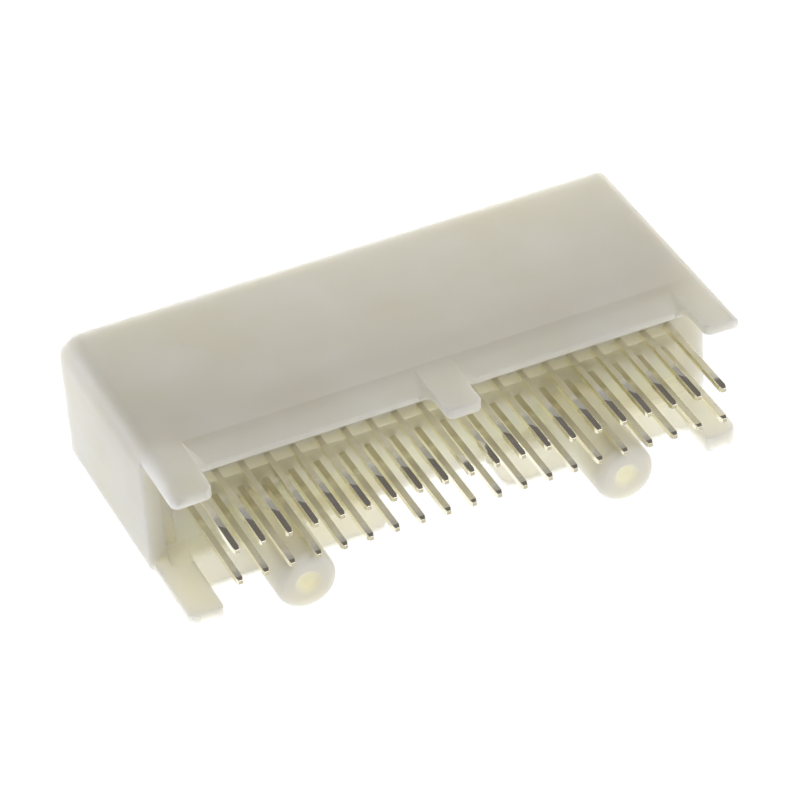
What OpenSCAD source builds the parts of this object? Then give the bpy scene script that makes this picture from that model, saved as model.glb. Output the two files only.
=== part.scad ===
// Board header for a vehicle wiring plug: a moulded nylon shroud with two rows of square pins.
// It lies on its long lower side. X runs along the rows, the plug enters from +Y, +Z is up.
// The circuit board stands upright at the far (-Y) side, against the two feet.
// Measures along Y below count from the face of the board. The finished part is centred on Y.

/* [Housing] */
// Length of the housing along the pin rows
body_w = 49.2; // [47:0.1:60]
// Height of the housing as it lies
body_h = 11.7; // [11:0.1:14]
// Distance from the board to the back of the base
standoff = 7.5; // [6.5:0.1:10]
// Distance from the back of the base to the mating rim
shroud_len = 17.5; // [15:0.1:25]
// Radius of the left upper long corner
left_corner_r = 1.9; // [0.5:0.1:2.5]
// Radius of the right upper long corner
right_corner_r = 0.9; // [0.5:0.1:2.5]
// Radius of the two lower long corners
low_corner_r = 0.6; // [0.1:0.1:0.8]
// Thickness of the two end walls
end_wall = 1.5; // [1:0.1:2]
// Thickness of the upper and lower long walls
long_wall = 1; // [0.8:0.1:1.4]
// Thickness of the base that holds the pins
base_t = 4; // [3:0.1:5]
// Chamfer that leads the plug into the shroud
lead_in = 0.4; // [0.2:0.1:0.6]

/* [Pins] */
// Pins in each row
pins_per_row = 20; // [4:1:20]
// Distance from pin to pin along a row
pitch = 2.2; // [2:0.1:2.3]
// Distance between the two rows
row_gap = 3; // [2.5:0.1:3.2]
// Height of the middle of the lower row
lower_row_z = 5.4; // [5.35:0.05:5.6]
// Side of the square pins
pin_size = 0.55; // [0.4:0.05:0.64]
// Length of the pins beyond the face of the board
pin_board = 3.25; // [2:0.05:4]
// Length of the pins inside the shroud
pin_mate = 8; // [6:0.1:9]
// Length of the tapered tips
tip_len = 0.35; // [0.2:0.05:1]
// Side of the flat that ends a tip
tip_flat = 0.35; // [0.15:0.05:0.35]

/* [Upper edge] */
// Thickness of the lip and the three tabs over the pins
lip_t = 0.9; // [0.7:0.05:1]
// Gap from the board to the ends of the tabs
tab_gap = 0.8; // [0:0.1:1.5]
// Distance from the board to the edge of the lip
lip_gap = 4.25; // [3:0.05:5]
// Drop of the lip's sloped upper face at its edge
lip_drop = 0.4; // [0.2:0.05:0.5]
// Width of the left end tab, measured from the housing's end
left_tab_w = 3.7; // [2.8:0.05:5]
// Width of the right end tab, measured from the housing's end
right_tab_w = 3.15; // [2.8:0.05:5]
// Width of the middle tab
mid_tab_w = 3.05; // [2:0.05:4]
// Offset of the middle tab from the middle of the housing
mid_tab_x = 0.4; // [-1:0.1:1]
// Corner radius of the tabs
tab_r = 0.7; // [0.3:0.1:1]
// Radius of the end tabs' outer corners
tab_outer_r = 0.75; // [0.4:0.05:1.5]

/* [Lower edge] */
// Thickness of the floor under the pins
floor_t = 0.5; // [0.4:0.05:0.8]
// Distance from the board to the edge of the floor
floor_gap = 3.5; // [2.5:0.1:5]
// Thickness of the left foot
left_foot_t = 0.8; // [0.6:0.1:1.3]
// Thickness of the right foot
right_foot_t = 1.3; // [0.6:0.1:1.3]
// Distance from the left end of the housing to the left foot
left_foot_inset = 0.35; // [0.1:0.05:1]
// Distance from the right end of the housing to the right foot
right_foot_inset = 0.8; // [0.1:0.05:1.2]
// Width of the left foot
left_foot_w = 2.9; // [2:0.1:4]
// Width of the right foot
right_foot_w = 2.9; // [2:0.1:4]
// Outer corner radius of the left foot
left_foot_r = 0.9; // [0.5:0.1:1.2]
// Outer corner radius of the right foot
right_foot_r = 1.2; // [0.5:0.1:1.2]
// Left side of the notch in the floor
notch_x0 = -5.7; // [-7:0.1:-3]
// Right side of the notch in the floor
notch_x1 = 4.6; // [3:0.1:6]
// Radius of the fillet between the base and the floor and feet
base_root_r = 1.2; // [0.3:0.1:1.4]

/* [Locating pegs] */
// Radius of the two pegs
peg_r = 2.5; // [1.5:0.05:2.5]
// Length of the pegs beyond the face of the board
peg_board = 2.6; // [1.5:0.1:4]
// Position of the left peg along the rows
left_peg_x = -15.2; // [-18:0.1:-12]
// Position of the right peg along the rows
right_peg_x = 12.4; // [8:0.1:15]
// Radius of the round that ends a peg
peg_edge = 0.7; // [0.3:0.1:0.8]
// Radius of the shallow dimple in the end of a peg
dimple_r = 1.1; // [0.4:0.1:1.1]
// Depth of the dimple
dimple_depth = 0.6; // [0.2:0.1:1]

/* [Plug latch] */
// Width of the bay for the plug's latch arm
bay_w = 10.3; // [8:0.1:12]
// Height of the two ribs that guide the latch arm
guide_h = 1.6; // [1:0.1:2]
// Thickness of the two guide ribs
guide_t = 0.8; // [0.6:0.1:1.2]
// Width of the catch behind which the latch snaps
catch_w = 6; // [4:0.5:8]
// Height of the catch
catch_h = 0.7; // [0.4:0.1:1]
// Length of the catch from its steep back to the end of its ramp
catch_len = 2.2; // [1.5:0.1:3]

/* [Hidden] */
$fn = 64;

function two_digits(n) = n < 10 ? str("0", n) : str(n);
function pin_name(row, n) = str(row, "_pin_", two_digits(n));

housing_colour = "#d9d5c4";
pin_colour = "#c9bd8a";

eps = 0.01;
// How far a cut runs past the solid that it cuts.
overrun = 1;
half_w = body_w / 2;
rim_y = standoff + shroud_len;
base_front_y = standoff + base_t;
mid_y = (rim_y - pin_board) / 2;
upper_row_z = lower_row_z + row_gap;
tab_under_z = body_h - lip_t;
// The pegs hang just clear of the surface that the housing lies on.
peg_lift = 0.05;
peg_z = peg_r + peg_lift;
bay_x = (notch_x0 + notch_x1) / 2;

// The back of the base stands out in a ledge under the lip, round the upper row.
ledge_t = 0.8;
ledge_drop = 0.9;
ledge_z = upper_row_z - ledge_drop;
// The ledge runs this far past the outer sides of the row's pins.
ledge_over = 0.4;
ledge_half_w = (pins_per_row - 1) / 2 * pitch + pin_size / 2 + ledge_over;
// An upright groove parts the back of the base from the left end wall.
groove_w = 0.9;
groove_depth = 0.3;
groove_z0 = 2.2;
groove_z1 = ledge_z;
// The plan of an end tab reaches just past the lowest point of the round corner above it.
tab_over = 0.03;
// Beside a tab the lip rises to the tab's height over this width.
ramp_w = 1;
// The catch stands this far in from the rim, clear of the lead-in chamfer.
catch_back = 3.2;
catch_top = catch_len / 3;
guide_back = 1;
// Rounds at the roots of the tabs and feet and at the mouth of the notch.
tab_root_r = 0.5;
foot_root_r = 0.7;
foot_inner_r = 0.4;
notch_r = 1;

// Frames and profiles

module from_board() {
    translate([0, -mid_y, 0]) children();
}

// Extrudes a profile drawn in X and Z from y0 to y1.
module along_y(y0, y1) {
    translate([0, y1, 0]) rotate([90, 0, 0]) linear_extrude(height = y1 - y0) children();
}

// Extrudes a profile drawn in Y and Z from x0 to x1.
module along_x(x0, x1) {
    translate([x0, 0, 0]) rotate([90, 0, 90]) linear_extrude(height = x1 - x0) children();
}

// Extrudes a plan drawn in X and Y from z0 to z1.
module along_z(z0, z1) {
    translate([0, 0, z0]) linear_extrude(height = z1 - z0) children();
}

module body_profile() {
    low_r = min(left_corner_r, right_corner_r);
    high_r = max(left_corner_r, right_corner_r);
    translate([-half_w, low_corner_r]) square([body_w, body_h - high_r - low_corner_r]);
    translate([low_corner_r - half_w, 0]) square([body_w - 2 * low_corner_r, low_corner_r + eps]);
    for (side = [-1, 1]) {
        translate([side * (half_w - low_corner_r), low_corner_r]) circle(low_corner_r);
    }
    translate([left_corner_r - half_w, 0])
        square([body_w - left_corner_r - right_corner_r, body_h]);
    translate([left_corner_r - half_w, body_h - left_corner_r]) circle(left_corner_r);
    translate([half_w - right_corner_r, body_h - right_corner_r]) circle(right_corner_r);
    // Below the smaller round, that side is straight for longer.
    side_x = left_corner_r < right_corner_r ? -half_w : half_w - high_r;
    if (high_r > low_r) translate([side_x, body_h - high_r - eps])
        square([high_r, high_r - low_r + eps]);
}

// How far a round corner of radius r stands in from the side, the lip's thickness below the top.
function corner_in(r) = r > lip_t ? r - sqrt(pow(r, 2) - pow(r - lip_t, 2)) : 0;

// Plan of a tongue from x0 to x1 that reaches back to y_end, with its own radius at each corner.
module tongue_plan(x0, x1, y_end, r0, r1) {
    r = max(r0, r1);
    translate([x0, y_end + r]) square([x1 - x0, standoff - y_end - r + eps]);
    translate([x0 + r0, y_end]) square([x1 - x0 - r0 - r1, r + eps]);
    corner_plan(x0, y_end, r0, r, 1);
    corner_plan(x1, y_end, r1, r, -1);
}

// One corner of a tongue, at (x, y), whose other corner is rounded up to the height y + top.
module corner_plan(x, y, r, top, side) {
    if (r > 0) translate([x + side * r, y + r]) circle(r);
    if (r > 0 && top > r) translate([side > 0 ? x : x - r, y + r]) square([r, top - r + eps]);
}

// Fills the inner corner at (x, y) with a round of radius r, on the side that side gives.
module root_plan(x, y, r, side) {
    difference() {
        translate([side > 0 ? x - eps : x - r, y - r]) square([r + eps, r + eps]);
        translate([x + side * r, y - r]) circle(r);
    }
}

// Pieces of the housing

module shroud_cavity() {
    inner_x = half_w - end_wall;
    top_z = body_h - long_wall;
    translate([-inner_x, base_front_y, long_wall])
        cube([2 * inner_x, shroud_len, top_z - long_wall]);
    // The lead-in widens towards the rim on all four sides.
    intersection() {
        along_x(-half_w, half_w) lead_in_profile(long_wall, top_z);
        along_z(0, body_h) mirror([1, -1]) lead_in_profile(-inner_x, inner_x);
    }
}

module lead_in_profile(low, high) {
    end_y = rim_y + overrun;
    polygon([[rim_y - lead_in, low], [rim_y, low - lead_in], [end_y, low - lead_in],
        [end_y, high + lead_in], [rim_y, high + lead_in], [rim_y - lead_in, high]]);
}

module latch_bay() {
    for (side = [-1, 1]) {
        translate([bay_x + side * (bay_w + guide_t) / 2 - guide_t / 2, base_front_y - eps, long_wall - eps])
            cube([guide_t, shroud_len - base_t - guide_back + eps, guide_h + eps]);
    }
    catch_y = rim_y - catch_back;
    along_x(bay_x - catch_w / 2, bay_x + catch_w / 2)
        polygon([[catch_y, long_wall - eps], [catch_y, long_wall + catch_h],
            [catch_y + catch_top, long_wall + catch_h], [catch_y + catch_len, long_wall - eps]]);
}

module base_ledge() {
    translate([-ledge_half_w, standoff - ledge_t, ledge_z])
        cube([2 * ledge_half_w, ledge_t + eps, tab_under_z - ledge_z + eps]);
}

module end_groove() {
    translate([end_wall - half_w, standoff - eps, groove_z0])
        cube([groove_w, groove_depth + eps, groove_z1 - groove_z0]);
}

// Eases the step from a tab, whose side is at x, down to the lip, with a round at its root.
module tab_ramp(x, side) {
    low_z = body_h - lip_drop;
    intersection() {
        along_y(lip_gap - tab_root_r, standoff)
            polygon([[x - side * eps, tab_under_z], [x - side * eps, body_h], [x, body_h],
                [x + side * ramp_w, low_z], [x + side * ramp_w, tab_under_z]]);
        along_z(tab_under_z, body_h) {
            root_plan(x, lip_gap, tab_root_r, side);
            translate([side > 0 ? x - eps : x - ramp_w, lip_gap - eps])
                square([ramp_w + eps, standoff - lip_gap + eps]);
        }
    }
}

module upper_lip() {
    left_x = -half_w + left_tab_w;
    right_x = half_w - right_tab_w;
    left_side_x = corner_in(left_corner_r) - tab_over - half_w;
    right_side_x = half_w - corner_in(right_corner_r) + tab_over;
    mid_x0 = mid_tab_x - mid_tab_w / 2;
    mid_x1 = mid_tab_x + mid_tab_w / 2;
    // The lip itself, sloping down to its edge.
    along_x(left_x - eps, right_x + eps)
        polygon([[standoff + eps, tab_under_z], [standoff + eps, body_h], [standoff, body_h],
            [lip_gap, body_h - lip_drop], [lip_gap, tab_under_z]]);
    // Tabs at full height, the end ones with the housing's own round corners.
    intersection() {
        along_y(tab_gap, standoff + eps) body_profile();
        along_z(tab_under_z, body_h) {
            tongue_plan(left_side_x, left_x, tab_gap, tab_outer_r, tab_r);
            tongue_plan(mid_x0, mid_x1, tab_gap, tab_r, tab_r);
            tongue_plan(right_x, right_side_x, tab_gap, tab_r, tab_outer_r);
        }
    }
    tab_ramp(left_x, 1);
    tab_ramp(mid_x0, -1);
    tab_ramp(mid_x1, 1);
    tab_ramp(right_x, -1);
}

module floor_and_feet() {
    left_x0 = -half_w + left_foot_inset;
    left_x1 = left_x0 + left_foot_w;
    right_x1 = half_w - right_foot_inset;
    right_x0 = right_x1 - right_foot_w;
    // The thin floor in two parts, with the notch between them.
    along_z(0, floor_t) {
        tongue_plan(left_x0 + left_foot_r, notch_x0, floor_gap, 0, notch_r);
        tongue_plan(notch_x1, right_x1 - right_foot_r, floor_gap, notch_r, 0);
        root_plan(left_x1, floor_gap, foot_root_r, 1);
        root_plan(right_x0, floor_gap, foot_root_r, -1);
    }
    along_z(0, left_foot_t) tongue_plan(left_x0, left_x1, 0, left_foot_r, foot_inner_r);
    along_z(0, right_foot_t) tongue_plan(right_x0, right_x1, 0, foot_inner_r, right_foot_r);
}

// Fillets the inner corner between the back of the base and a face at height z.
module base_root(x0, x1, z) {
    centre_y = standoff - base_root_r;
    along_x(x0, x1) difference() {
        translate([centre_y, z - eps]) square(base_root_r + eps);
        translate([centre_y, z + base_root_r]) circle(base_root_r);
    }
}

module base_roots() {
    inner_x = half_w - end_wall;
    base_root(-inner_x, notch_x0, floor_t);
    base_root(notch_x1, inner_x, floor_t);
    base_root(-inner_x, -half_w + left_foot_inset + left_foot_w, left_foot_t);
    base_root(half_w - right_foot_inset - right_foot_w, inner_x, right_foot_t);
}

// Half section of a peg, with a rounded end edge.
module peg_profile() {
    length = peg_board + standoff;
    square([peg_r - peg_edge, length]);
    translate([0, peg_edge]) square([peg_r, length - peg_edge]);
    translate([peg_r - peg_edge, peg_edge]) circle(peg_edge);
}

module peg(x) {
    // The dimple is a cap of a ball.
    ball_r = (pow(dimple_r, 2) + pow(dimple_depth, 2)) / (2 * dimple_depth);
    translate([x, -peg_board, peg_z]) rotate([-90, 0, 0]) difference() {
        rotate_extrude() peg_profile();
        translate([0, 0, dimple_depth - ball_r]) sphere(ball_r);
    }
}

module housing() {
    color(housing_colour) from_board() difference() {
        union() {
            difference() {
                along_y(standoff, rim_y) body_profile();
                shroud_cavity();
            }
            latch_bay();
            base_ledge();
            upper_lip();
            floor_and_feet();
            base_roots();
            peg(left_peg_x);
            peg(right_peg_x);
        }
        end_groove();
        for (n = [1 : pins_per_row]) {
            pin_hole(n, lower_row_z);
            pin_hole(n, upper_row_z);
        }
    }
}

// Pins

function pin_x(n) = (n - (pins_per_row + 1) / 2) * pitch;

module pin_hole(n, row_z) {
    translate([pin_x(n) - pin_size / 2, standoff - ledge_t - overrun, row_z - pin_size / 2])
        cube([pin_size, base_t + ledge_t + 2 * overrun, pin_size]);
}

// Side view of a pin: a bar with a taper at both ends.
module pin_outline() {
    half = pin_size / 2;
    flat = tip_flat / 2;
    y0 = -pin_board;
    y1 = base_front_y + pin_mate;
    polygon([[y0, -flat], [y0 + tip_len, -half], [y1 - tip_len, -half], [y1, -flat],
        [y1, flat], [y1 - tip_len, half], [y0 + tip_len, half], [y0, flat]]);
}

module pin(n, row_z) {
    color(pin_colour) from_board() translate([pin_x(n), 0, row_z]) intersection() {
        along_x(-pin_size, pin_size) pin_outline();
        along_z(-pin_size, pin_size) mirror([1, -1]) pin_outline();
    }
}

housing();
for (n = [1 : pins_per_row]) {
    pin(n, lower_row_z);
    pin(n, upper_row_z);
}
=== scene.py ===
import bpy
import bmesh
import math
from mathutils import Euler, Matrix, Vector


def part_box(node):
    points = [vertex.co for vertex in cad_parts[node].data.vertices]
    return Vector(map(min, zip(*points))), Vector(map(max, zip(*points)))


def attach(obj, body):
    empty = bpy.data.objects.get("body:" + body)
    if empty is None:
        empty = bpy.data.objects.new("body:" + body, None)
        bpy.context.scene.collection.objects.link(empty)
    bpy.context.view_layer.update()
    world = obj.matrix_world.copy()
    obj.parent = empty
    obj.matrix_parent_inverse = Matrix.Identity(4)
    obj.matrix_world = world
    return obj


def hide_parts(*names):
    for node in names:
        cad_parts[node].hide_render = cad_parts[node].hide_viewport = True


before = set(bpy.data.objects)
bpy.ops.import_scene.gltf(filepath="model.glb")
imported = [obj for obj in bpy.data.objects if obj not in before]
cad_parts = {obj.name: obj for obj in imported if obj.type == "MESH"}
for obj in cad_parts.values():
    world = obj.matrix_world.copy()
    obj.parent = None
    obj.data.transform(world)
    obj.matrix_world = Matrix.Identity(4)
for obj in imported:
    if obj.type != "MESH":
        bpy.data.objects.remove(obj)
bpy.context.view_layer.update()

scene = bpy.context.scene
MM = 0.001

# Measures of the solids in mm, in the frame's axes
BODY_HALF_X, RIM_Y, TOP_Z = (round(side / MM, 3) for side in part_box("housing")[1])
PINS_PER_ROW = 20
PITCH = 2.2
ROWS_Z = (5.4, 8.4)
ROWS_MIDDLE_Z = sum(ROWS_Z) / 2
ROWS_HALF_GAP = (ROWS_Z[1] - ROWS_Z[0]) / 2
PIN_HALF = 0.275
PINS_HALF_X = PINS_PER_ROW * PITCH / 2
BASE_Y = -3.375
BASE_MIDDLE_Y = -1.75
BASE_HALF_DEPTH = 2.5
TAB_UNDER_Z = 10.8
LIP_EDGE_Y = -6.625
TAB_ROOT_Y = -7.3
END_TABS_X = 23.15
BASE_ROOT_R = 1.2
BASE_ROOT_X = 23.2
FEET_TOP_Z = 1.32
PEGS_X = (-15.2, 12.4)
PEGS_MIDDLE_X = sum(PEGS_X) / 2
PEGS_HALF_GAP = (PEGS_X[1] - PEGS_X[0]) / 2
PEG_Z = 2.55
PEG_END_Y = -12.6


# Nodes

NOISE_RANGE = (0.3, 0.7)


class Nodes:
    """The nodes of one material or of the world."""

    def __init__(self, tree):
        tree.nodes.clear()
        self.tree = tree

    def add(self, kind, inputs=(), **settings):
        """A node whose inputs are numbers, colours or other nodes' outputs."""
        node = self.tree.nodes.new("ShaderNode" + kind)
        for key, value in settings.items():
            setattr(node, key, value)
        for key, value in dict(inputs).items():
            socket = node.inputs[key]
            if isinstance(value, bpy.types.NodeSocket):
                self.tree.links.new(value, socket)
            elif socket.type == "RGBA":
                socket.default_value = (*value, 1)
            else:
                socket.default_value = value
        return node

    def math(self, operation, *values):
        return self.add("Math", enumerate(values), operation=operation).outputs[0]

    def product(self, first, *others):
        for value in others:
            first = self.math("MULTIPLY", first, value)
        return first

    def distance(self, value, centre):
        return self.math("ABSOLUTE", self.math("SUBTRACT", value, centre))

    def map(self, value, source, target=(0, 1)):
        """Carries a value from one range to another, within which it stays."""
        limits = {"From Min": source[0], "From Max": source[1], "To Min": target[0], "To Max": target[1]}
        return self.add("MapRange", {"Value": value, **limits}).outputs["Result"]

    def fade(self, value, start, end):
        """Goes from 0 at start to 1 at end, which are in mm."""
        return self.map(value, (start * MM, end * MM))

    def separate(self, vector):
        return self.add("SeparateXYZ", {"Vector": vector}).outputs

    def noise(self, coords, scale, detail=3.0, rough=0.5, stretch=(1, 1, 1)):
        """A noise whose scale is per metre, along stretched object coordinates."""
        mapping = self.add("Mapping", {"Vector": coords["Object"], "Scale": stretch})
        values = {"Scale": scale, "Detail": detail, "Roughness": rough}
        return self.add("TexNoise", {"Vector": mapping.outputs["Vector"], **values}).outputs["Fac"]

    def spread(self, noise, low, high):
        """Spreads a noise over a range."""
        return self.map(noise, NOISE_RANGE, (low, high))

    def ramp(self, value, stops):
        """A colour for each value, from stops that are (value, colour)."""
        node = self.add("ValToRGB", {"Fac": value})
        slots = node.color_ramp.elements
        while len(slots) < len(stops):
            slots.new(0.5)
        for slot, (position, colour) in zip(slots, stops):
            slot.position = position
            slot.color = (*colour, 1)
        return node.outputs["Color"]

    def mix(self, share, first, second, blend_type="MIX"):
        values = {"Fac": share, "Color1": first, "Color2": second}
        return self.add("MixRGB", values, blend_type=blend_type).outputs["Color"]

    def bump(self, height, strength, distance, normal=None):
        values = {"Height": height, "Strength": strength, "Distance": distance}
        if normal:
            values["Normal"] = normal
        return self.add("Bump", values).outputs["Normal"]

    def seen(self):
        """1 for what the camera sees, also through a reflection, and 0 for what lights the object."""
        path = self.add("LightPath").outputs
        seen = self.math("MAXIMUM", path["Is Camera Ray"], path["Is Glossy Ray"])
        return self.math("MAXIMUM", seen, path["Is Transmission Ray"])

    def surface(self, shader):
        self.add("OutputMaterial", {"Surface": shader.outputs[0]})


def new_material(name):
    material = bpy.data.materials.new(name)
    material.use_nodes = True
    return material, Nodes(material.node_tree)


# Masks of the nylon's painted light and shade and of its scattering: each pair is where a mask starts and
# where it is full, in mm

AROUND_PIN = (1.0, 0.5)
FOOT_OF_BASE_Z = ((0.9, 2.4), (6.0, 4.0))
FOOT_OF_BASE_Y = (PEG_END_Y, PEG_END_Y + 3.5)
FOOT_OF_BASE_X = (23.0, 21.4)
SHADE_OF_ROW_Z = ((4.6, 6.2), (8.8, 8.2))
DIMPLE_R = (1.2, 0.6)


def in_base(n, place):
    """1 in the base that holds the pins, between its end pins."""
    side = n.math("ABSOLUTE", place["X"])
    depth = n.distance(place["Y"], BASE_MIDDLE_Y * MM)
    in_row = n.math("LESS_THAN", side, PINS_HALF_X * MM)
    return n.product(in_row, n.math("LESS_THAN", depth, BASE_HALF_DEPTH * MM))


def beside_pins(n, place):
    """1 on the base next to a pin, where scattered light would be lost in the pin's hole."""
    cell = n.math("FRACT", n.math("DIVIDE", place["X"], PITCH * MM))
    dx = n.math("MULTIPLY", n.distance(cell, 0.5), PITCH * MM)
    dz = n.distance(n.distance(place["Z"], ROWS_MIDDLE_Z * MM), ROWS_HALF_GAP * MM)
    return n.product(n.fade(n.math("MAXIMUM", dx, dz), *AROUND_PIN), in_base(n, place))


def low_in_base(n, place):
    """1 on the foot of the base and the pegs' roots, where the light of the table comes through: there the
    nylon scatters deeper and its colour is brightened as painted light.
    """
    side = n.math("ABSOLUTE", place["X"])
    heights = [n.fade(place["Z"], *limits) for limits in FOOT_OF_BASE_Z]
    return n.product(*heights, n.fade(place["Y"], *FOOT_OF_BASE_Y), n.fade(side, *FOOT_OF_BASE_X))


def between_rows(n, place):
    """1 on the part of the base that lies in the shade of the upper row."""
    heights = [n.fade(place["Z"], *limits) for limits in SHADE_OF_ROW_Z]
    return n.product(*heights, in_base(n, place))


def in_dimple(n, place):
    """1 in the dimples of the pegs' ends."""
    dx = n.math("SUBTRACT", n.distance(place["X"], PEGS_MIDDLE_X * MM), PEGS_HALF_GAP * MM)
    dz = n.math("SUBTRACT", place["Z"], PEG_Z * MM)
    r = n.math("SQRT", n.math("ADD", n.math("POWER", dx, 2), n.math("POWER", dz, 2)))
    return n.product(n.fade(r, *DIMPLE_R), n.math("LESS_THAN", place["Y"], PEG_END_Y * MM))


# Nylon: lengths in mm

CREAM = [(0.32, (0.80, 0.765, 0.635)), (0.52, (0.825, 0.795, 0.68)), (0.70, (0.85, 0.83, 0.73))]
SHADE_TINT = (0.94, 0.91, 0.76)
PAINTED_TABLE_LIGHT = (1.14, 1.13, 1.04)
SCATTER_RADIUS = (1.0, 0.96, 0.86)
SCATTER_DEPTH = 2.8
FOOT_SCATTER_DEPTH = 6
DIMPLE_GLOW = 0.19
DIMPLE_GLOW_COLOUR = (0.9, 0.92, 0.52)


def nylon():
    """Natural nylon as moulded: cream, a little translucent, with a fine spark-eroded skin."""
    material, n = new_material("natural_nylon")
    coords = n.add("TexCoord").outputs
    place = n.separate(coords["Object"])
    cloud = n.noise(coords, scale=120, detail=2, stretch=(1, 1, 1.4))
    foot = low_in_base(n, place)
    # Painted shade: the base between the rows is darkened and yellowed, standing in for the upper row's
    # shade.
    tint = n.mix(between_rows(n, place), n.ramp(cloud, CREAM), SHADE_TINT, "MULTIPLY")
    # Painted light: the foot of the base and the pegs' roots are made lighter, standing in for the table's
    # light that comes through.
    tint = n.mix(foot, tint, PAINTED_TABLE_LIGHT, "MULTIPLY")
    skin = n.noise(coords, scale=9000, rough=0.6)
    normal = n.bump(skin, strength=0.12, distance=0.03 * MM)
    flow = n.noise(coords, scale=420, detail=2, stretch=(0.35, 1, 1))
    normal = n.bump(flow, strength=0.12, distance=0.12 * MM, normal=normal)
    # Painted glow: emission in the bottom of each dimple stands in for the little light that comes through
    # it.
    through = n.math("MULTIPLY", in_dimple(n, place), DIMPLE_GLOW)
    n.surface(n.add("BsdfPrincipled", {
        "Base Color": tint,
        "Roughness": n.spread(cloud, 0.46, 0.54),
        "IOR": 1.5,
        "Specular IOR Level": 0.4,
        "Subsurface Weight": n.math("SUBTRACT", 1.0, beside_pins(n, place)),
        "Subsurface Radius": SCATTER_RADIUS,
        "Subsurface Scale": n.map(foot, (0, 1), (SCATTER_DEPTH * MM, FOOT_SCATTER_DEPTH * MM)),
        "Emission Color": DIMPLE_GLOW_COLOUR,
        "Emission Strength": through,
        "Normal": normal}))
    return material


# Plated brass: lengths in mm

PLATING = [(0.30, (0.78, 0.75, 0.62)), (0.52, (0.82, 0.79, 0.68)), (0.72, (0.86, 0.84, 0.76))]
CUT_BRASS_AND_SHADE = [(0.35, (0.54, 0.49, 0.34)), (0.65, (0.62, 0.58, 0.44))]
SHEARED_BRASS_AND_LIGHT = [(0.35, (0.95, 0.92, 0.73)), (0.65, (0.98, 0.96, 0.80))]
SQUARE_ON = (0.90, 0.97)
TAPER_Y = -11.1
TAPER_LEN = 6
TAPER_SLOPE = 0.05
TAPER_SLANT = 1.2
TAPER_WANDER = 0.2


def pressed_taper(n, place, cloud):
    """Height of the slight taper to which the last few millimetres of the upper row are pressed."""
    wander = n.spread(cloud, -TAPER_WANDER * MM, TAPER_WANDER * MM)
    across = n.math("FRACT", n.math("DIVIDE", place["X"], PITCH * MM))
    slant = n.math("MULTIPLY_ADD", across, TAPER_SLANT * PITCH * MM, wander)
    along = n.math("ADD", place["Y"], slant)
    start = (TAPER_Y + TAPER_SLANT * PITCH / 2) * MM
    end = start - TAPER_LEN * MM
    height = n.map(along, (start, end), (0, -TAPER_LEN * MM * TAPER_SLOPE))
    return n.math("MULTIPLY", height, n.math("GREATER_THAN", place["Z"], ROWS_MIDDLE_Z * MM))


def plated_pin():
    """Pale plated brass, drawn along the pin, with bare brass on its sheared sides and its cut end, whose
    colours also hold painted light on the sides and painted shade on the end.
    """
    material, n = new_material("plated_brass")
    coords = n.add("TexCoord").outputs
    place = n.separate(coords["Object"])
    facing = n.separate(coords["Normal"])
    drawn = n.noise(coords, scale=9000, rough=0.6, stretch=(1, 0.04, 1))
    cloud = n.noise(coords, scale=900, detail=2, stretch=(1, 0.4, 1))
    # The cut end is bare brass, also darkened as painted shade.
    cut = n.map(facing["Y"], [-share for share in SQUARE_ON])
    tint = n.mix(cut, n.ramp(cloud, PLATING), n.ramp(cloud, CUT_BRASS_AND_SHADE))
    # The pins are taken as stamped from plated strip, which leaves their sheared sides bare. Their sheared
    # sides are also made lighter than the plating, as painted light.
    sheared = n.map(n.math("ABSOLUTE", facing["X"]), SQUARE_ON)
    tint = n.mix(sheared, tint, n.ramp(cloud, SHEARED_BRASS_AND_LIGHT))
    normal = n.bump(pressed_taper(n, place, cloud), strength=1, distance=1)
    normal = n.bump(drawn, strength=0.05, distance=0.01 * MM, normal=normal)
    n.surface(n.add("BsdfPrincipled", {
        "Base Color": tint,
        "Metallic": 1.0,
        "Roughness": n.spread(drawn, 0.08, 0.17),
        "Normal": normal}))
    return material


# Housing: the solid with the small rounds that a moulding has on its edges; lengths in mm

NEAR = 0.01
CREASE_NEAR = 0.02
FOLD_NEAR = 0.02
TINY = 0.001
SAME_POINT = 0.0001
ROUND = 0.1
ROUND_FROM = math.radians(32)
FOLDED = math.radians(100)
FLAT = math.radians(1)
CRISP_FROM = math.radians(35)
ATTEMPTS = 6
FREED = 1.5 * ROUND
CUT_BESIDE = 0.3
TAB_CUT_ABOVE_Z = 10


def in_pin_hole(p):
    """True for a point on the square outline where a pin goes through the base."""
    n = round(p.x / MM / PITCH + (PINS_PER_ROW - 1) / 2)
    if not 0 <= n < PINS_PER_ROW:
        return False
    dx = abs(p.x / MM - (n - (PINS_PER_ROW - 1) / 2) * PITCH)
    dz = min(abs(p.z / MM - z) for z in ROWS_Z)
    return dx < PIN_HALF + NEAR and dz < PIN_HALF + NEAR


def in_base_root(p):
    """True for a point on the fillet between the base and the floor or the feet."""
    x, y, z = abs(p.x / MM), p.y / MM, p.z / MM
    in_fillet = BASE_Y - BASE_ROOT_R - NEAR < y < BASE_Y + NEAR
    return x < BASE_ROOT_X and in_fillet and z < FEET_TOP_Z + BASE_ROOT_R


def in_tab_root(p):
    """True for a point on the rounds and ramps between the tabs and the lip, or on a tab's outer side."""
    x, y, z = abs(p.x / MM), p.y / MM, p.z / MM
    if z < TAB_UNDER_Z - ROUND or y > BASE_Y + NEAR:
        return False
    return x > END_TABS_X and y < BASE_Y - NEAR or TAB_ROOT_Y - NEAR < y < LIP_EDGE_Y - TINY


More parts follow.
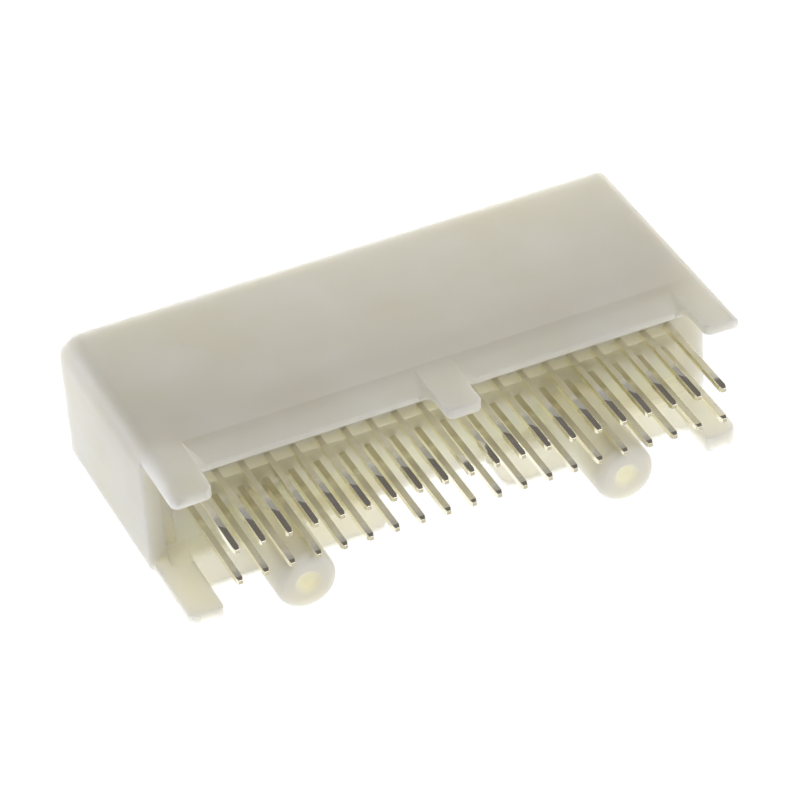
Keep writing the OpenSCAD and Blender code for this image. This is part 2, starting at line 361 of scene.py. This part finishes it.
def gets_round(e):
    """True for the crisp outer edges of the moulding that have room for a round."""
    if not e.is_convex or e.calc_face_angle(0) < ROUND_FROM:
        return False
    a, b = (v.co for v in e.verts)
    if max(a.z, b.z) < TINY * MM or in_pin_hole(a) and in_pin_hole(b):
        return False
    if in_tab_root((a + b) / 2):
        return False
    # The ends of the fillets run out too thin for a round.
    return not (in_base_root(a) and in_base_root(b) and abs(a.x - b.x) < TINY * MM)


def distance_to(p, a, b):
    """Distance from a point to the line between a and b."""
    along = b - a
    t = min(max((p - a).dot(along) / max(along.length_squared, 1e-18), 0), 1)
    return (p - a - along * t).length


def with_rounds(base):
    """A copy of the mesh with its crisp edges rounded, apart from those where a round would fold over."""
    chosen = [e.index for e in base.edges if gets_round(e)]
    acute = [[v.co for v in e.verts] for e in base.edges if e.calc_face_angle(0) > FOLDED]
    for attempt in range(ATTEMPTS):
        bm = base.copy()
        bm.edges.ensure_lookup_table()
        bmesh.ops.bevel(bm, geom=[bm.edges[i] for i in chosen], offset=ROUND * MM,
            offset_type="OFFSET", segments=2, profile=0.5, affect="EDGES",
            clamp_overlap=False, loop_slide=True)
        bmesh.ops.triangulate(bm, faces=[f for f in bm.faces if len(f.verts) > 4])
        folds = [(e.verts[0].co + e.verts[1].co) / 2 for e in bm.edges if e.calc_face_angle(0) > FOLDED]
        folds = [p for p in folds if all(distance_to(p, a, b) > FOLD_NEAR * MM for a, b in acute)]
        if not folds:
            break
        chosen = [i for i in chosen if all(
            distance_to(p, *(v.co for v in base.edges[i].verts)) > FREED * MM for p in folds)]
        if attempt < ATTEMPTS - 1:
            bm.free()
    return bm


def cut_across(base, y, above):
    """Cuts the long facets above a height where they pass y, which keeps the rounds from twisting them."""
    faces = [f for f in base.faces if min(v.co.z for v in f.verts) >= (above - NEAR) * MM]
    edges = {e for f in faces for e in f.edges}
    verts = {v for e in edges for v in e.verts}
    bmesh.ops.bisect_plane(base, geom=list(verts) + list(edges) + faces,
        dist=SAME_POINT * MM / 10, plane_co=(0, y * MM, 0), plane_no=(0, 1, 0))


def on_crease(p):
    """True for a point on the crisp crease from which the lip slopes down."""
    return abs(p.y / MM - BASE_Y) < CREASE_NEAR and abs(p.z / MM - TOP_Z) < CREASE_NEAR


def rounded_housing(material):
    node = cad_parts["housing"]
    base = bmesh.new()
    base.from_mesh(node.data)
    bmesh.ops.remove_doubles(base, verts=base.verts, dist=SAME_POINT * MM)
    bmesh.ops.dissolve_limit(base, angle_limit=FLAT, verts=base.verts, edges=base.edges)
    cut_across(base, TAB_ROOT_Y, TAB_CUT_ABOVE_Z)
    cut_across(base, BASE_Y + CUT_BESIDE, 0)
    cut_across(base, RIM_Y - CUT_BESIDE, 0)
    base.edges.ensure_lookup_table()
    base.edges.index_update()
    bm = with_rounds(base)
    base.free()
    low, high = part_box("housing")
    for v in bm.verts:
        v.co = [min(max(v.co[i], low[i]), high[i]) for i in range(3)]
    me = bpy.data.meshes.new("housing_moulding")
    bm.to_mesh(me)
    bm.free()
    me.shade_smooth()
    me.set_sharp_from_angle(angle=CRISP_FROM)
    sharp_edge = me.attributes["sharp_edge"].data
    for i, e in enumerate(me.edges):
        a, b = (me.vertices[k].co for k in e.vertices)
        if in_tab_root((a + b) / 2):
            sharp_edge[i].value = False
        elif on_crease(a) and on_crease(b):
            sharp_edge[i].value = True
    o = bpy.data.objects.new("housing_moulding", me)
    scene.collection.objects.link(o)
    normals = o.modifiers.new("normals", "WEIGHTED_NORMAL")
    normals.mode = "FACE_AREA"
    normals.weight = 100
    normals.keep_sharp = True
    me.materials.append(material)
    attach(o, "root")
    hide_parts("housing")


rounded_housing(nylon())


# Pins: the solids with a small round on their edges; lengths in mm

PIN_ROUND = 0.03
PIN_ROUND_FROM = math.radians(15)


def flat_faces():
    """A node group that shades each flat of a pin as flat."""
    group = bpy.data.node_groups.new("flat_faces", "GeometryNodeTree")
    group.interface.new_socket(name="Geometry", in_out="INPUT", socket_type="NodeSocketGeometry")
    group.interface.new_socket(name="Geometry", in_out="OUTPUT", socket_type="NodeSocketGeometry")
    start = group.nodes.new("NodeGroupInput")
    clear = group.nodes.new("GeometryNodeRemoveAttribute")
    clear.inputs["Name"].default_value = "custom_normal"
    flat = group.nodes.new("GeometryNodeSetShadeSmooth")
    flat.inputs["Shade Smooth"].default_value = False
    end = group.nodes.new("NodeGroupOutput")
    group.links.new(start.outputs[0], clear.inputs["Geometry"])
    group.links.new(clear.outputs[0], flat.inputs[0])
    group.links.new(flat.outputs[0], end.inputs[0])
    return group


pin_material = plated_pin()
flat_group = flat_faces()
for name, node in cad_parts.items():
    if name == "housing":
        continue
    for slot in node.material_slots:
        slot.material = pin_material
    weld = node.modifiers.new("weld", "WELD")
    weld.merge_threshold = TINY * MM
    edge = node.modifiers.new("edge", "BEVEL")
    edge.width = PIN_ROUND * MM
    edge.segments = 2
    edge.limit_method = "ANGLE"
    edge.angle_limit = PIN_ROUND_FROM
    flat = node.modifiers.new("flat", "NODES")
    flat.node_group = flat_group


# Things of the studio: lengths in metres, angles in degrees

AIM = Vector((0, 0, 0.005))


def staged(name, size, material):
    """A flat sheet that isn't part of the object."""
    w, h = size[0] / 2, size[1] / 2
    me = bpy.data.meshes.new(name)
    me.from_pydata([(-w, -h, 0), (w, -h, 0), (w, h, 0), (-w, h, 0)], [], [(0, 1, 2, 3)])
    me.materials.append(material)
    o = bpy.data.objects.new(name, me)
    scene.collection.objects.link(o)
    return o


def put(o, angles, distance):
    """Puts a thing so that it faces the object; azimuth 0 is towards +Y, 90 towards +X."""
    a, e = (math.radians(angle) for angle in angles)
    place = Vector((math.sin(a) * math.cos(e), math.cos(a) * math.cos(e), math.sin(e))) * distance
    o.location = place
    o.rotation_mode = "QUATERNION"
    o.rotation_quaternion = (AIM - place).to_track_quat("-Z", "Y")


# Floor: paper on a light table, which also glows a little for what lies on it; places in mm

FLOOR_SIZE = (6, 6)
PAPER = [(0.3, (0.90, 0.90, 0.90)), (0.7, (0.92, 0.92, 0.92))]
PAPER_SHADE = (0.45, 0.45, 0.45)
UNDER_X = (BODY_HALF_X, BODY_HALF_X - 1)
UNDER_FRONT_Y = (BASE_Y, BASE_Y + 5)
UNDER_BACK_Y = (RIM_Y, RIM_Y - 1)
SEEN_SHARE = 0.9
SEEN_GLOW = 1.085
TABLE_GLOW = 0.64
SHADE_GLOW = 0.45
TABLE_COLOUR = (0.97, 0.99, 1.05)


def floor():
    material, n = new_material("floor_paper")
    coords = n.add("TexCoord").outputs
    place = n.separate(coords["Object"])
    paper = n.ramp(n.noise(coords, scale=400, detail=2), PAPER)
    # Under the shroud the paper lies in the dark.
    across = n.fade(n.math("ABSOLUTE", place["X"]), *UNDER_X)
    under = n.product(n.fade(place["Y"], *UNDER_FRONT_Y), n.fade(place["Y"], *UNDER_BACK_Y), across)
    diffuse = n.add("BsdfDiffuse", {"Color": n.mix(under, paper, PAPER_SHADE, "MULTIPLY")})
    seen = n.seen()
    white = n.add("Emission", {"Strength": SEEN_GLOW})
    share = n.math("MULTIPLY", seen, SEEN_SHARE)
    sheet = n.add("MixShader", {"Fac": share, 1: diffuse.outputs[0], 2: white.outputs[0]})
    glow = n.math("SUBTRACT", TABLE_GLOW, n.math("MULTIPLY", under, SHADE_GLOW))
    table = n.add("Emission", {"Color": TABLE_COLOUR, "Strength": n.map(seen, (0, 1), (glow, 0))})
    both = n.add("AddShader", {0: sheet.outputs[0], 1: table.outputs[0]})
    # From below, the floor is clear.
    below = n.add("NewGeometry").outputs["Backfacing"]
    clear = n.add("BsdfTransparent")
    n.surface(n.add("MixShader", {"Fac": below, 1: both.outputs[0], 2: clear.outputs[0]}))
    staged("floor", FLOOR_SIZE, material)


floor()


# Light

CARD_EDGE = (40.6, 42.2)
CARD_WANDER = 0.004
CARD_FOOT = (0.42, 0.42, 0.41)
CARD_TOP = (0.168, 0.155, 0.152)
FAR = 0.8
CLOSE = 0.18
BOX = (0.45, 0.45)
LOW_BOX = (0.45, 0.3)
STRIP = (0.12, 0.05)
COOL = (0.96, 0.98, 1.09)
WARM = (1.04, 1.02, 0.97)


def softbox(name, angles, distance, size, watts, colour):
    data = bpy.data.lights.new(name, "AREA")
    data.shape = "RECTANGLE"
    data.size, data.size_y = size
    data.energy = watts
    data.color = colour
    o = bpy.data.objects.new(name, data)
    scene.collection.objects.link(o)
    put(o, angles, distance)


def grey_card(name, angles, distance, size):
    """A card that only the reflections show: light grey at its foot and dark above."""
    material, n = new_material(name)
    coords = n.add("TexCoord").outputs
    place = n.separate(coords["Object"])
    wander = n.spread(n.noise(coords, scale=60), -CARD_WANDER, CARD_WANDER)
    edge = [distance * math.tan(math.radians(angle - angles[1])) for angle in CARD_EDGE]
    level = n.map(n.math("ADD", place["Y"], wander), edge)
    n.surface(n.add("Emission", {"Color": n.ramp(level, [(0, CARD_FOOT), (1, CARD_TOP)])}))
    o = staged(name, size, material)
    put(o, angles, distance)
    o.visible_camera = False


softbox("front_top_box", (180, 65), FAR, BOX, 1.52, (1.0, 0.98, 0.98))
softbox("right_front_box", (135, 38), FAR, BOX, 1.15, (0.99, 0.98, 1.03))
softbox("right_box", (90, 12), FAR, LOW_BOX, 0.70, WARM)
softbox("back_left_box", (-45, 12), FAR, LOW_BOX, 1.70, COOL)
softbox("back_right_strip", (30, 15), CLOSE, STRIP, 0.105, WARM)
softbox("back_left_strip", (-30, 15), CLOSE, STRIP, 0.051, COOL)
grey_card("grey_card", (22, 60), FAR, (0.7, 0.92))

# The world is a background that doesn't light the object.
scene.world = bpy.data.worlds.new("studio")
scene.world.use_nodes = True
world = Nodes(scene.world.node_tree)
background = world.add("Background", {"Strength": world.seen()})
world.add("OutputWorld", {"Surface": background.outputs[0]})

scene.view_settings.view_transform = "Standard"

# Camera at the photograph's view
cam_data = bpy.data.cameras.new("camera")
cam_data.sensor_width = 36
cam_data.lens = 185.8564
cam_data.clip_start = 0.01
cam_data.clip_end = 20
camera = bpy.data.objects.new("camera", cam_data)
scene.collection.objects.link(camera)
camera.location = (-0.09922, -0.24633, 0.20544)
camera.rotation_euler = Euler((0.924955, 0.062807, -0.426526), "XYZ")
scene.camera = camera
